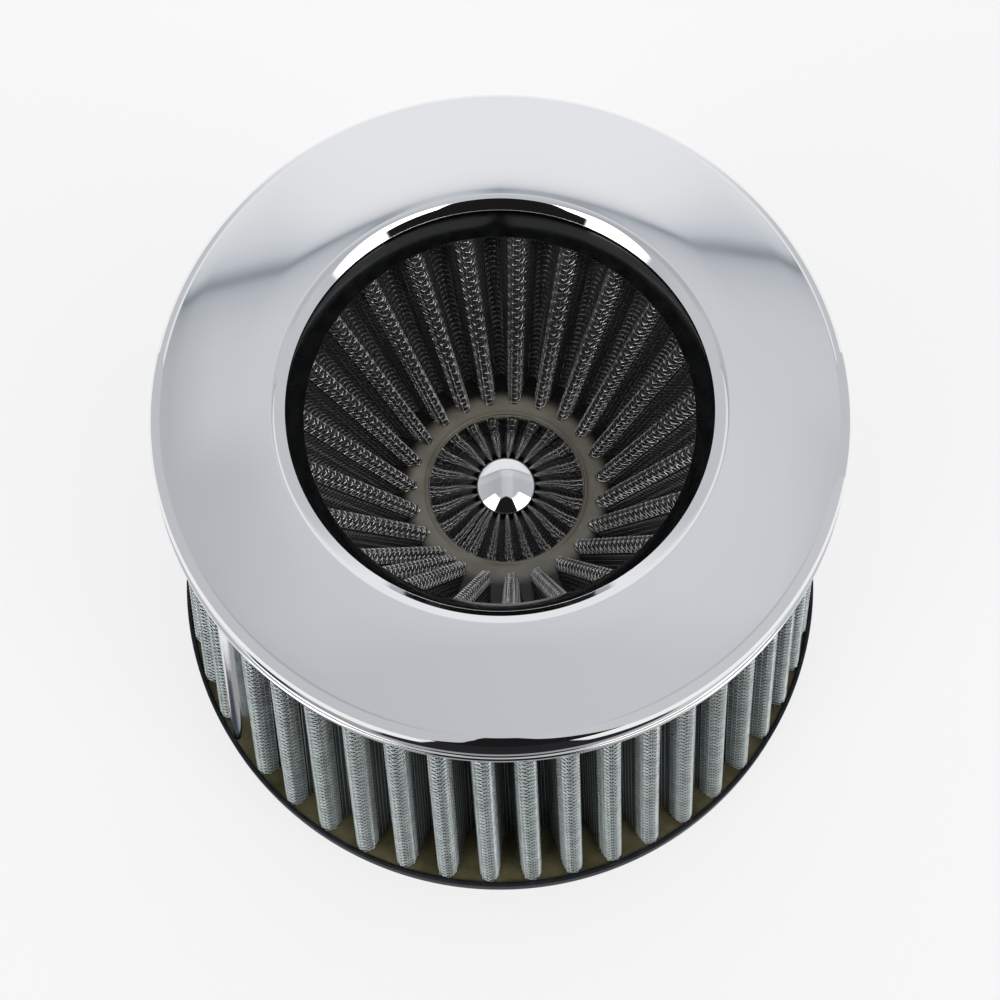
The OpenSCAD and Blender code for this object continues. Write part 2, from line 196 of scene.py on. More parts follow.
def piece(name, verts, faces, mat, slot, uv=None, sharp=None):
    """A smooth-shaded mesh that rides on the filter. verts are in mm."""
    mesh = bpy.data.meshes.new(name)
    mesh.from_pydata((np.asarray(verts) * MM).tolist(), [], np.asarray(faces).tolist())
    mesh.polygons.foreach_set("use_smooth", [True] * len(mesh.polygons))
    if uv is not None:
        layer = mesh.uv_layers.new(name="weave")
        loops = np.empty(len(mesh.loops), np.int64)
        mesh.loops.foreach_get("vertex_index", loops)
        layer.data.foreach_set("uv", np.asarray(uv, np.float32)[loops].ravel())
    if sharp:
        mesh.set_sharp_from_angle(angle=math.radians(sharp))
    mesh.materials.append(mat)
    obj = add_object(name, mesh)
    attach(obj, "root")
    return obj


def arc(centre, rx, rz, start, end, steps):
    """Points of an elliptical arc, from one angle to another."""
    a = np.radians(np.linspace(start, end, steps + 1))
    return [(centre[0] + rx * math.cos(t), centre[1] + rz * math.sin(t)) for t in a]


def grid_faces(rows, columns, wrap_rows=False, wrap_columns=False):
    """Quads of a grid of vertices, which may close on itself either way."""
    i, j = np.meshgrid(np.arange(rows if wrap_rows else rows - 1),
                       np.arange(columns if wrap_columns else columns - 1), indexing="ij")
    i2, j2 = (i + 1) % rows, (j + 1) % columns
    corners = [i * columns + j, i * columns + j2, i2 * columns + j2, i2 * columns + j]
    return np.stack(corners, -1).reshape(-1, 4)


def lathe(name, outline, mat, slot, turns=288, centre=(0.0, 0.0), sharp=35):
    """A solid of revolution from a closed outline of (radius, height) points."""
    outline = np.asarray(outline)
    n = len(outline)
    a = np.linspace(0, 2 * math.pi, turns, endpoint=False)
    verts = np.empty((turns, n, 3))
    verts[..., 0] = centre[0] + outline[None, :, 0] * np.cos(a)[:, None]
    verts[..., 1] = centre[1] + outline[None, :, 0] * np.sin(a)[:, None]
    verts[..., 2] = outline[None, :, 1]
    # The faces of a counterclockwise outline point out, and those of a clockwise one point in
    faces = grid_faces(turns, n, True, True)[:, [0, 3, 2, 1]]
    return piece(name, verts.reshape(-1, 3), faces, mat, slot, sharp=sharp)


# ---------------------------------------------------------------- node helpers

def put(tree, socket, value):
    """Sets an input socket, or links another socket into it."""
    if isinstance(value, bpy.types.NodeSocket):
        tree.links.new(value, socket)
    else:
        socket.default_value = value


def calc(tree, operation, *values, clamp=False):
    """A Math node on numbers or sockets."""
    n = tree.nodes.new("ShaderNodeMath")
    n.operation = operation
    n.use_clamp = clamp
    for socket, value in zip(n.inputs, values):
        put(tree, socket, value)
    return n.outputs[0]


def smooth_step(tree, value, low, high):
    """Nought at low, one at high, which may be the smaller number, and smooth between."""
    n = tree.nodes.new("ShaderNodeMapRange")
    n.interpolation_type = "SMOOTHSTEP"
    put(tree, n.inputs["Value"], value)
    n.inputs["From Min"].default_value = low
    n.inputs["From Max"].default_value = high
    return n.outputs["Result"]


def ramp(tree, value, low, high, stops):
    """Colours over a range of a number: stops are (number, grey or colour)."""
    scaled = tree.nodes.new("ShaderNodeMapRange")
    put(tree, scaled.inputs["Value"], value)
    scaled.inputs["From Min"].default_value = low
    scaled.inputs["From Max"].default_value = high
    n = tree.nodes.new("ShaderNodeValToRGB")
    elements = n.color_ramp.elements
    while len(elements) < len(stops):
        elements.new(0.5)
    for element, (at, grey) in zip(elements, stops):
        element.position = (at - low) / (high - low)
        element.color = (*grey, 1) if isinstance(grey, tuple) else (grey, grey, grey, 1)
    tree.links.new(scaled.outputs["Result"], n.inputs["Fac"])
    return n.outputs["Color"]


def plan_radius(tree, x, y):
    """Distance of a point from the axis, in plan."""
    return calc(tree, "SQRT", calc(tree, "ADD", calc(tree, "MULTIPLY", x, x),
                                   calc(tree, "MULTIPLY", y, y)))


def separate(tree, vector):
    """The three parts of a vector."""
    n = tree.nodes.new("ShaderNodeSeparateXYZ")
    tree.links.new(vector, n.inputs[0])
    return n.outputs


def mix_colour(tree, factor, a, b, blend="MIX"):
    """Colour a at a factor of nought and b blended over it at one."""
    n = tree.nodes.new("ShaderNodeMix")
    n.data_type = "RGBA"
    n.blend_type = blend
    put(tree, n.inputs["Factor"], factor)
    put(tree, n.inputs["A"], a)
    put(tree, n.inputs["B"], b)
    return n.outputs["Result"]


def noise(tree, coords, scale, detail=2.0, roughness=0.5):
    """Values of a noise texture; scale is in features per metre."""
    n = tree.nodes.new("ShaderNodeTexNoise")
    tree.links.new(coords, n.inputs["Vector"])
    n.inputs["Scale"].default_value = scale
    n.inputs["Detail"].default_value = detail
    n.inputs["Roughness"].default_value = roughness
    return n.outputs["Fac"]


def bump(tree, height, strength, distance_mm):
    """A normal that shows a height's relief."""
    n = tree.nodes.new("ShaderNodeBump")
    n.inputs["Strength"].default_value = strength
    n.inputs["Distance"].default_value = distance_mm * MM
    tree.links.new(height, n.inputs["Height"])
    return n.outputs["Normal"]


def material(name, colour, metallic=0.0, roughness=0.5, **more):
    """A Principled material. Returns it with its tree, shader node and object coordinates.
    more names other sockets of the shader, with _ for each space."""
    mat = bpy.data.materials.new(name)
    mat.use_nodes = True
    tree = mat.node_tree
    shader = tree.nodes["Principled BSDF"]
    shader.inputs["Base Color"].default_value = (*colour, 1)
    shader.inputs["Metallic"].default_value = metallic
    shader.inputs["Roughness"].default_value = roughness
    for key, value in more.items():
        shader.inputs[key.replace("_", " ")].default_value = value
    mat.diffuse_color = (*colour, 1)
    coords = tree.nodes.new("ShaderNodeTexCoord").outputs["Object"]
    return mat, tree, shader, coords


def chrome_material():
    """Polished chrome with a slight haze and unevenness."""
    mat, tree, shader, coords = material("chrome", (0.88, 0.89, 0.90), 1.0, 0.03)
    haze = noise(tree, coords, 60, 3)
    put(tree, shader.inputs["Roughness"], calc(tree, "MULTIPLY_ADD", haze, 0.03, 0.012))
    put(tree, shader.inputs["Normal"], bump(tree, noise(tree, coords, 35, 1), 0.1, 0.015))
    return mat


def rubber_material(name, colour, roughness, texture, **more):
    """Moulded rubber: a base colour, its gloss, and how strong its skin's texture is."""
    mat, tree, shader, coords = material(name, colour, 0.0, roughness, **more)
    mottle = noise(tree, coords, 400, 4)
    put(tree, shader.inputs["Roughness"],
        calc(tree, "MULTIPLY_ADD", mottle, 0.12, roughness - 0.06))
    pale = tuple(1.7 * c for c in colour)
    put(tree, shader.inputs["Base Color"],
        mix_colour(tree, smooth_step(tree, mottle, 0.4, 0.7), (*colour, 1), (*pale, 1)))
    put(tree, shader.inputs["Normal"], bump(tree, noise(tree, coords, 120, 3), texture, 0.12))
    return mat


def resin_material(name, deep, pale, painted_shade_from=None, centre=0.0):
    """Cast resin, mottled. With painted_shade_from it turns dark beyond that radius in mm: painted
    shade in the grooves between the pleats."""
    mat, tree, shader, coords = material(name, deep, 0.0, 0.18)
    tint = noise(tree, coords, 90, 3)
    colour = mix_colour(tree, smooth_step(tree, tint, 0.35, 0.7), (*deep, 1), (*pale, 1))
    # Painted shade: past the given radius the colour turns near-black, for the shadow in the
    # grooves
    if painted_shade_from:
        x, y, _ = separate(tree, coords)
        r = plan_radius(tree, calc(tree, "SUBTRACT", x, centre * MM), y)
        r = calc(tree, "MULTIPLY_ADD", tint, 2 * MM, calc(tree, "SUBTRACT", r, MM))
        colour = mix_colour(tree, smooth_step(tree, r, painted_shade_from * MM, (painted_shade_from + 3) * MM),
                            colour, (0.012, 0.011, 0.009, 1))
    put(tree, shader.inputs["Base Color"], colour)
    put(tree, shader.inputs["Normal"], bump(tree, noise(tree, coords, 160, 3), 0.5, 0.3))
    return mat


def wire_material(name, colour, metallic, roughness):
    """Drawn wire, dulled in places."""
    mat, tree, shader, coords = material(name, colour, metallic, roughness)
    age = noise(tree, coords, 220, 3)
    dull = tuple(0.72 * c for c in colour)
    put(tree, shader.inputs["Base Color"],
        mix_colour(tree, smooth_step(tree, age, 0.3, 0.75), (*colour, 1), (*dull, 1)))
    put(tree, shader.inputs["Roughness"],
        calc(tree, "MULTIPLY_ADD", age, 0.2, roughness - 0.1))
    return mat


def gauze_material(name, dark, pale):
    """Oiled cotton: pale threads over dark gaps."""
    mat, tree, shader, coords = material(name, dark, 0.0, 0.85)
    threads = noise(tree, coords, 1800, 2)
    put(tree, shader.inputs["Base Color"],
        mix_colour(tree, smooth_step(tree, threads, 0.35, 0.65), (*dark, 1), (*pale, 1)))
    put(tree, shader.inputs["Normal"], bump(tree, threads, 0.8, 0.25))
    return mat


def screen_material(name, colour):
    """Woven wire over dark gauze as a pattern: one repeat is one unit of the weave UV."""
    mat, tree, shader, _ = material(name, colour, 0.85, 0.4)
    uv = tree.nodes.new("ShaderNodeUVMap")
    uv.uv_map = "weave"
    place = separate(tree, uv.outputs["UV"])
    heights = []
    for axis, other in ((0, 1), (1, 0)):
        across = calc(tree, "PINGPONG", place[axis], 0.5)
        strand = calc(tree, "SUBTRACT", 1.0, calc(tree, "DIVIDE", across, WIRE_SHARE / 2),
                      clamp=True)
        phase = calc(tree, "MULTIPLY", place[other], math.pi)
        lift = calc(tree, "COSINE", phase if axis == 0 else calc(tree, "ADD", phase, math.pi))
        heights.append(calc(tree, "MULTIPLY", strand, calc(tree, "MULTIPLY_ADD", lift, 0.3, 0.7)))
    height = calc(tree, "MAXIMUM", *heights)
    solid = smooth_step(tree, height, 0.02, 0.2)
    put(tree, shader.inputs["Base Color"],
        mix_colour(tree, solid, (0.02, 0.025, 0.025, 1), (*colour, 1)))
    put(tree, shader.inputs["Metallic"], solid)
    put(tree, shader.inputs["Roughness"], calc(tree, "MULTIPLY_ADD", solid, -0.5, 0.9))
    put(tree, shader.inputs["Normal"], bump(tree, height, 1.0, 0.3))
    return mat


def steel_material(name, colour, roughness, grain_size):
    """Sheet metal with a fine grain and a slow unevenness left by the press."""
    mat, tree, shader, coords = material(name, colour, 1.0, roughness)
    grain = noise(tree, coords, 500, 4, 0.7)
    put(tree, shader.inputs["Roughness"],
        calc(tree, "MULTIPLY_ADD", grain, grain_size, roughness - grain_size / 2))
    wave = calc(tree, "ADD", calc(tree, "MULTIPLY", grain, 0.1), noise(tree, coords, 130, 1))
    put(tree, shader.inputs["Normal"], bump(tree, wave, 0.5, 0.12))
    return mat


CHROME = chrome_material()
RUBBER = rubber_material("black_rubber", (0.012, 0.014, 0.018), 0.35, 0.25,
                         Specular_IOR_Level=0.12)
THROAT = rubber_material("throat_rubber", (0.003, 0.0033, 0.0036), 0.12, 0.06)
BASE_RESIN = resin_material("base_resin", (0.1, 0.088, 0.045), (0.2, 0.18, 0.1))
# The end resin is painted dark past 22.8 mm: painted shade between the pleats' ends
END_RESIN = resin_material("end_resin", (0.18, 0.168, 0.13), (0.25, 0.235, 0.185), 22.8,
                           CONE_LEAN)
OUTER_WIRE = wire_material("outer_wire", (0.82, 0.89, 0.88), 0.75, 0.32)
INNER_WIRE = wire_material("inner_wire", (0.92, 0.92, 0.91), 0.9, 0.18)
OUTER_GAUZE = gauze_material("outer_gauze", (0.012, 0.016, 0.017), (0.05, 0.056, 0.056))
INNER_GAUZE = gauze_material("inner_gauze", (0.009, 0.008, 0.0075), (0.03, 0.025, 0.022))
OUTER_SCREEN = screen_material("outer_screen_flank", (0.62, 0.68, 0.67))
# The inner flanks' wire is painted much darker than the same wire on the ridges: painted shade in
# the inner pack's grooves
INNER_SCREEN_PAINTED_SHADE = screen_material("inner_screen_flank_painted_shade", (0.23, 0.225, 0.22))
BACK_SCREEN = screen_material("backing_screen", (0.66, 0.69, 0.69))
CLIP = steel_material("clip_aluminium", (0.86, 0.87, 0.89), 0.12, 0.04)
STEEL = steel_material("clamp_steel", (0.66, 0.67, 0.68), 0.28, 0.25)


# ---------------------------------------------------------------- turned pieces

def ring_face():
    """The ring's face between its two rolls: it sags a little towards either of them."""
    lip_r, edge_r = OPEN_R + LIP_ROLL, RING_R - EDGE_ROLL
    inner = np.linspace(lip_r, LIP_SAG_TO, 9)
    outer = np.linspace(EDGE_SAG_FROM, edge_r, 6)
    down = [LIP_SAG * ((LIP_SAG_TO - r) / (LIP_SAG_TO - lip_r)) ** 2 for r in inner]
    down += [EDGE_SAG * ((r - EDGE_SAG_FROM) / (edge_r - EDGE_SAG_FROM)) ** 2 for r in outer]
    return [(r, Z_TOP - d) for r, d in zip([*inner, *outer], down)]


edge = (RING_R - EDGE_ROLL, Z_TOP - EDGE_ROLL)
lip = (OPEN_R + LIP_ROLL, Z_TOP - LIP_ROLL)
inner_edge = EDGE_ROLL - RING_SHEET
inner_lip = LIP_ROLL - RING_SHEET
hem_r = RING_R + HEM_PROUD - HEM_ROUND
top_ring = lathe("chrome_ring", (
    arc(LIP_END, LIP_BEAD, LIP_BEAD, 280, 60, 12)
    + arc(lip, LIP_ROLL, LIP_ROLL - LIP_SAG, 90 + LIP_TURN, 90.6, 22)
    + ring_face()
    + arc(edge, EDGE_ROLL - WALL_DRAFT, EDGE_ROLL - EDGE_SAG, 89.7, 3, 24)
    + [(RING_R - WALL_DRAFT * ((z - Z_WALL) / (edge[1] - Z_WALL)) ** 2, z)
       for z in np.linspace(edge[1] - 0.1, Z_WALL, 6)]
    + [(RING_R, Z_FOOT + HEM_H)]
    + arc((hem_r, Z_FOOT + HEM_H - HEM_ROUND), HEM_ROUND, HEM_ROUND, 90, 0, 8)
    + arc((hem_r, Z_FOOT + HEM_ROUND), HEM_ROUND, HEM_ROUND, 0, -90, 8)
    + [(RING_R - RING_SHEET, Z_FOOT), (RING_R - RING_SHEET, Z_FOOT + HEM_H)]
    + arc(edge, inner_edge, inner_edge, 0, 90, 6)
    + arc(lip, inner_lip, inner_lip, 90, 180, 6)
    + [(OPEN_R + RING_SHEET, Z_LIP + MOUTH_H)]), CHROME, "chrome", turns=384)
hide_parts("top_ring")

nose = (THROAT_R + FUNNEL_NOSE, Z_HEAD + FUNNEL_NOSE)
mouth = (OPEN_R - MOUTH_INSET, Z_LIP + MOUTH_H)
seat_r = OPEN_R + RING_SHEET - SEAT_GAP
funnel_slope = math.degrees(math.atan2(mouth[1] - nose[1], mouth[0] - nose[0]))
throat = lathe("throat_funnel", (
    [(seat_r, Z_LIP + SEAT_H), (OPEN_R, Z_LIP + CREST_H), mouth]
    + arc(nose, FUNNEL_NOSE, FUNNEL_NOSE, funnel_slope + 90, 270, 16)
    + [(FLANGE_R, Z_HEAD), (FLANGE_R, Z_LIP), (seat_r, Z_LIP)]
), THROAT, "black_rubber", turns=384)
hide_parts("throat_ring")
trim = lathe("throat_trim", arc((THROAT_R + TRIM_OUT, Z_HEAD + TRIM_UP), TRIM_WIRE_R, TRIM_WIRE_R,
                                0, 330, 11), CHROME, "chrome", turns=256)
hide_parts("throat_ring")

slope = math.radians(DOME_SLOPE)
tip_edge = DOME_TIP_R * math.sin(slope)
tip_centre = Z_END + (DOME_R - tip_edge) * math.tan(slope) - DOME_TIP_R * math.cos(slope)
dome = lathe("mirror_cap", (
    [(AXIS_R, Z_END - DOME_SKIRT), (DOME_R, Z_END - DOME_SKIRT), (DOME_R, Z_END)]
    + arc((0, tip_centre), DOME_TIP_R, DOME_TIP_R, 90 - DOME_SLOPE, 89.9, 40)
), CHROME, "chrome", turns=192, centre=(CONE_LEAN, 0))
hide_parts("mirror_dome")

end_disc = lathe("end_resin", (
    [(AXIS_R, Z_END - END_H), (END_BRIM_R, Z_END - END_H), (END_BRIM_R, Z_END)]
    + [(POCKET_R + out, Z_END + up) for out, up in POCKET_CREEP]
    + [(POCKET_R, Z_END - DOME_SKIRT), (AXIS_R, Z_END - DOME_SKIRT)]
), END_RESIN, "resin", turns=192, centre=(CONE_LEAN, 0))
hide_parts("end_potting")

rim_inner = BASE_R - RIM_W
base_resin = lathe("base_resin", (
    [(DAM_OUTER_R + BOND_GAP, Z_FLOOR), (rim_inner - BOND_GAP, Z_FLOOR)]
    + [(rim_inner - off, Z_RESIN + up) for off, up in RIM_CREEP]
    + [(DAM_OUTER_R + BOND_GAP, Z_RESIN)]), BASE_RESIN, "resin", turns=256)
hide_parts("base_potting")

rim_round = RIM_W / 3
base = lathe("moulded_base", (
    [(NECK_BORE_R, MOUTH_CHAMFER), (NECK_BORE_R + MOUTH_CHAMFER, 0)]
    + arc((NECK_R + COLLAR_PROUD - COLLAR_H / 2, COLLAR_H / 2), COLLAR_H / 2, COLLAR_H / 2,
          -90, 55, 12)
    + [(NECK_R, COLLAR_H)]
    + arc((NECK_R + NECK_FILLET, Z_BASE - NECK_FILLET), NECK_FILLET, NECK_FILLET, 180, 90, 12)
    + arc((BASE_R - BASE_ROUND, Z_BASE + BASE_ROUND), BASE_ROUND, BASE_ROUND, -90, 0, 10)
    + arc((BASE_R - rim_round, Z_RIM - rim_round), rim_round, rim_round, 0, 90, 6)
    + arc((rim_inner + rim_round, Z_RIM - rim_round), rim_round, rim_round, 90, 180, 6)
    + [(rim_inner, Z_FLOOR), (DAM_OUTER_R, Z_FLOOR), (DAM_OUTER_R, Z_RESIN),
       (DAM_OUTER_R - DAM_W, Z_RESIN), (DAM_OUTER_R - DAM_W, Z_FLOOR)]
    + arc((NECK_BORE_R + BELL_R, Z_FLOOR - BELL_R), BELL_R, BELL_R, 90, 180, 12)
), RUBBER, "black_rubber", turns=288)
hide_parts("base_ring")


# ---------------------------------------------------------------- pleated packs

def fold(centre_r, az, radius, side, start, end, steps):
    """Points of a fold's arc in plan; side 1 bulges outwards and -1 inwards."""
    k = np.radians(np.linspace(start, end, steps + 1))
    middle = polar(centre_r + side * radius * np.sin(k), az)
    return middle - (radius * np.cos(k))[:, None] * polar(1.0, az + 90)


def straight(a, b, steps):
    """Points between two others, without them."""
    t = np.linspace(0, 1, steps + 1)[1:-1, None]
    return a + (b - a) * t


SIN60 = math.sin(math.radians(60))


def outer_az(i):
    """Azimuth of an outer pleat at the base; i may run past the last pleat."""
    whole, i = divmod(i, OUTER_PLEATS)
    step = 360 / OUTER_PLEATS
    drift = PLEAT_DRIFT * math.sin(math.radians(DRIFT_WAVES * i * step))
    return SEAM_AZ + i * step + drift + 360 * whole


def outer_line(i, u, depth, tip_steps=12, flank_steps=6, root_steps=3):
    """The outer pack's line in plan, from the middle of one groove to the next."""
    seam = i % OUTER_PLEATS == 0
    turn = OUTER_TWIST * (u - 1)
    tip_r = SEAM_TIP if seam else mix(OUTER_TIP, u)
    recess = CLIP_SHEET + CLIP_GAP if seam else 0
    root_r = mix(OUTER_ROOT, u)
    tip_centre = mix(OUTER_R, u) - recess - SIN60 * tip_r
    root_centre = mix(OUTER_R, u) - OUTER_DEPTH + SIN60 * (root_r + OUTER_PLY)
    az = outer_az(i)
    left = (outer_az(i - 1) + az) / 2 + turn
    right = (az + outer_az(i + 1)) / 2 + turn
    tip = fold(tip_centre, az + turn, tip_r - depth, 1, 0, 180, tip_steps)
    root_a = fold(root_centre, left, root_r + depth, -1, 90, 180, root_steps)
    root_b = fold(root_centre, right, root_r + depth, -1, 0, 90, root_steps)
    return np.concatenate([root_a, straight(root_a[-1], tip[0], flank_steps), tip,
                           straight(tip[-1], root_b[0], flank_steps), root_b])


def inner_az(i):
    """Azimuth of an inner pleat; the overlapped seam adds one to the even steps."""
    count = INNER_PLEATS + 1
    whole, i = divmod(i, count)
    step = 360 / INNER_PLEATS
    if i == OVERLAP_AT:
        turned = step - OVERLAP_TURN
    else:
        turned = (i if i < OVERLAP_AT else i - 1) * step
    return FIRST_INNER_AZ + turned + 360 * whole


def inner_line(i, u, depth, tip_steps=10, flank_steps=6, root_steps=4):
    """The inner pack's line in plan, which faces the axis."""
    count = INNER_PLEATS + 1

    def root_radius(k):
        crowded = k % count in (OVERLAP_AT - 1, OVERLAP_AT)
        return CROWDED_ROOT if crowded else mix(INNER_ROOT, u)

    tip_r = mix(INNER_TIP, u)
    tip_centre = mix(INNER_R, u) + SIN60 * tip_r
    bottom = mix(INNER_R, u) + mix(INNER_DEPTH, u)
    az = inner_az(i)
    left = (inner_az(i - 1) + az) / 2
    right = (az + inner_az(i + 1)) / 2
    r_a, r_b = root_radius(i - 1), root_radius(i)
    tip = fold(tip_centre, az, tip_r - depth, -1, 0, 180, tip_steps)
    root_a = fold(bottom - SIN60 * (r_a + INNER_PLY), left, r_a + depth, 1, 90, 180, root_steps)
    root_b = fold(bottom - SIN60 * (r_b + INNER_PLY), right, r_b + depth, 1, 0, 90, root_steps)
    line = np.concatenate([root_a, straight(root_a[-1], tip[0], flank_steps), tip,
                           straight(tip[-1], root_b[0], flank_steps), root_b])
    return line + [CONE_LEAN * u, 0]


def lengths(line):
    """Distances of a line's points from its middle, along it."""
    gaps = np.linalg.norm(np.diff(line, axis=0), axis=1)
    length = np.concatenate([[0], np.cumsum(gaps)])
    return length - length[len(line) // 2]


def along(line, at):
    """Points of a line in plan at distances from its middle."""
    length = lengths(line)
    return np.stack([np.interp(at, length, line[:, k]) for k in (0, 1)], -1)


def sheet(name, line_of, pleats, depth, heights, mat, slot, pitch=None):
    """The face of a pack as one closed mesh: rows of heights, one line of all pleats each."""
    rows, spans = [], []
    for u in np.linspace(0, 1, len(heights)):
        lines = [line_of(i, u, depth) for i in range(pleats)]
        rows.append(np.concatenate([line[:-1] for line in lines]))
        spans.append(np.concatenate([lengths(line)[:-1] for line in lines]))
    n = len(rows[0])
    verts = np.array([np.column_stack([row, np.full(n, z)]) for row, z in zip(rows, heights)])
    faces = grid_faces(len(heights), n, wrap_columns=True)
    uv = None
    if pitch:
        across = np.array(spans) / pitch[0]
        up = np.repeat(np.asarray(heights)[:, None], n, 1) / pitch[1]
        uv = np.stack([across, up], -1).reshape(-1, 2)
    return piece(name, verts.reshape(-1, 3), faces, mat, slot, uv=uv)


FLANK_POINTS = 10


def flank_sheet(name, line_of, pleats, depth, heights, start, pitch, mat):
    """Both flanks of each pleat from a distance off its ridge to the grooves."""
    verts, uv, faces = [], [], []
    for i in range(pleats):
        for side in (-1, 1):
            base = sum(len(v) for v in verts)
            for u, z in zip(np.linspace(0, 1, len(heights)), heights):
                line = line_of(i, u, depth)
                at = side * np.linspace(start, lengths(line)[-1], FLANK_POINTS)
                verts.append(np.column_stack([along(line, at), np.full(len(at), z)]))
                uv.append(np.column_stack([at / pitch[0], np.full(len(at), z / pitch[1])]))
            faces.append(base + grid_faces(len(heights), FLANK_POINTS))
    return piece(name, np.concatenate(verts), np.concatenate(faces), mat, "wire_screen",
                 uv=np.concatenate(uv))


def tubes(paths, normals, radius):
    """Vertices and faces of three-sided tubes along equal-length paths."""
    count, steps, _ = paths.shape
    tangent = np.gradient(paths, axis=1)
    tangent /= np.linalg.norm(tangent, axis=2, keepdims=True)
    side = np.cross(tangent, normals)
    side /= np.linalg.norm(side, axis=2, keepdims=True)
    angles = np.radians([90, 210, 330])
    ring = (normals[:, :, None] * np.sin(angles)[:, None]
            + side[:, :, None] * np.cos(angles)[:, None])
    verts = paths[:, :, None] + radius * ring
    one = grid_faces(steps, len(angles), wrap_columns=True)
    faces = one + (np.arange(count) * steps * len(angles))[:, None, None]
    return verts.reshape(-1, 3), faces.reshape(-1, 4)


def weave(line_of, i, z_high, z_low, depth, across_at, cross_pitch, radius, long_radius,
          outwards):
    """The wires of one pleat, across its ridge and along it, each over and under the others."""
    rise = z_high - z_low
    rows = int(round(rise / cross_pitch))
    us = (np.arange(rows) + 0.5) / rows
    grid = np.empty((rows, len(across_at), 3))
    for row, u in enumerate(us):
        grid[row, :, :2] = along(line_of(i, u, depth), across_at)
        grid[row, :, 2] = z_high - rise * u
    down = np.gradient(grid, axis=0)
    across = np.gradient(grid, axis=1)
    normals = np.cross(down, across)
    normals /= np.linalg.norm(normals, axis=2, keepdims=True)
    normals *= outwards
    weave_sign = 1 - 2 * (np.add.outer(np.arange(rows), np.arange(len(across_at))) % 2)
    lift = WEAVE_LIFT * radius * weave_sign[..., None] * normals
    over = grid + lift
    under = grid - lift
    # The wires along the ridge start above the pleat's head and end in the resin
    ends_n = np.concatenate([normals[:1], normals, normals[-1:]])
    step = grid[1] - grid[0]
    under = np.concatenate([under[:1] - step, under, under[-1:] + step])
    return [tubes(over, normals, radius),
            tubes(under.transpose(1, 0, 2), ends_n.transpose(1, 0, 2), long_radius)]


def join(parts):
    """The vertices and faces of several meshes as one."""
    verts, faces, base = [], [], 0
    for v, f in parts:
        verts.append(v)
        faces.append(f + base)
        base += len(v)
    return np.concatenate(verts), np.concatenate(faces)


outer_heights = np.linspace(Z_HEAD, Z_RESIN, 9)
inner_heights = np.linspace(Z_HEAD, Z_END, 7)

for name, line_of, pleats, depth, heights, mat in (
        ("outer_gauze", outer_line, OUTER_PLEATS, OUTER_GAUZE_DEPTH, outer_heights, OUTER_GAUZE),
        ("inner_gauze", inner_line, INNER_PLEATS + 1, INNER_GAUZE_DEPTH, inner_heights,
         INNER_GAUZE)):
    cotton = sheet(name + "_face", line_of, pleats, depth, heights, mat, "gauze")
    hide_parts(name)
for name, line_of, pleats, depth, heights in (
        ("outer_backing_screen", outer_line, OUTER_PLEATS, OUTER_PLY, outer_heights),
        ("inner_backing_screen", inner_line, INNER_PLEATS + 1, INNER_PLY, inner_heights)):
    backing = sheet(name + "_face", line_of, pleats, depth, heights, BACK_SCREEN,
                    "wire_screen", pitch=BACK_PITCH)
    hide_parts(name)

# The outer wires are four pieces, each of every fourth pleat, to keep each piece's mesh small
QUARTERS = 4
outer_at = np.arange(-OUTER_ZONE, OUTER_ZONE + 0.01, OUTER_LONG_PITCH)
for quarter in range(QUARTERS):
    parts = []
    for i in range(quarter, OUTER_PLEATS, QUARTERS):
        if i:  # the first pleat is under the seam strip
            parts += weave(outer_line, i, Z_HEAD, Z_RESIN, OUTER_WIRE_DEPTH, outer_at,
                           OUTER_CROSS_PITCH, OUTER_WIRE_R, OUTER_LONG_WIRE_R, 1)
    wires = piece(f"outer_wires_{quarter}", *join(parts), OUTER_WIRE, "wire_screen")
    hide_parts("outer_screen")
flanks = flank_sheet("outer_flanks", outer_line, OUTER_PLEATS, OUTER_WIRE_DEPTH, outer_heights,
                     outer_at[-1] + OUTER_LONG_PITCH / 2, (OUTER_LONG_PITCH, OUTER_CROSS_PITCH),
                     OUTER_SCREEN)
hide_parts("outer_screen")

inner_at = np.arange(-INNER_ZONE, INNER_ZONE + 0.01, INNER_LONG_PITCH)
parts = []
for i in range(INNER_PLEATS + 1):
    parts += weave(inner_line, i, Z_HEAD, Z_END, INNER_WIRE_DEPTH, inner_at,
                   INNER_CROSS_PITCH, INNER_WIRE_R, INNER_LONG_WIRE_R, -1)
wires = piece("inner_wires", *join(parts), INNER_WIRE, "wire_screen")
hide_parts("inner_screen")
# The inner flanks take the darkened screen: painted shade in the grooves
flanks = flank_sheet("inner_flanks", inner_line, INNER_PLEATS + 1, INNER_WIRE_DEPTH,
                     inner_heights, inner_at[-1] + INNER_LONG_PITCH / 2,
                     (INNER_LONG_PITCH, INNER_CROSS_PITCH), INNER_SCREEN_PAINTED_SHADE)
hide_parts("inner_screen")

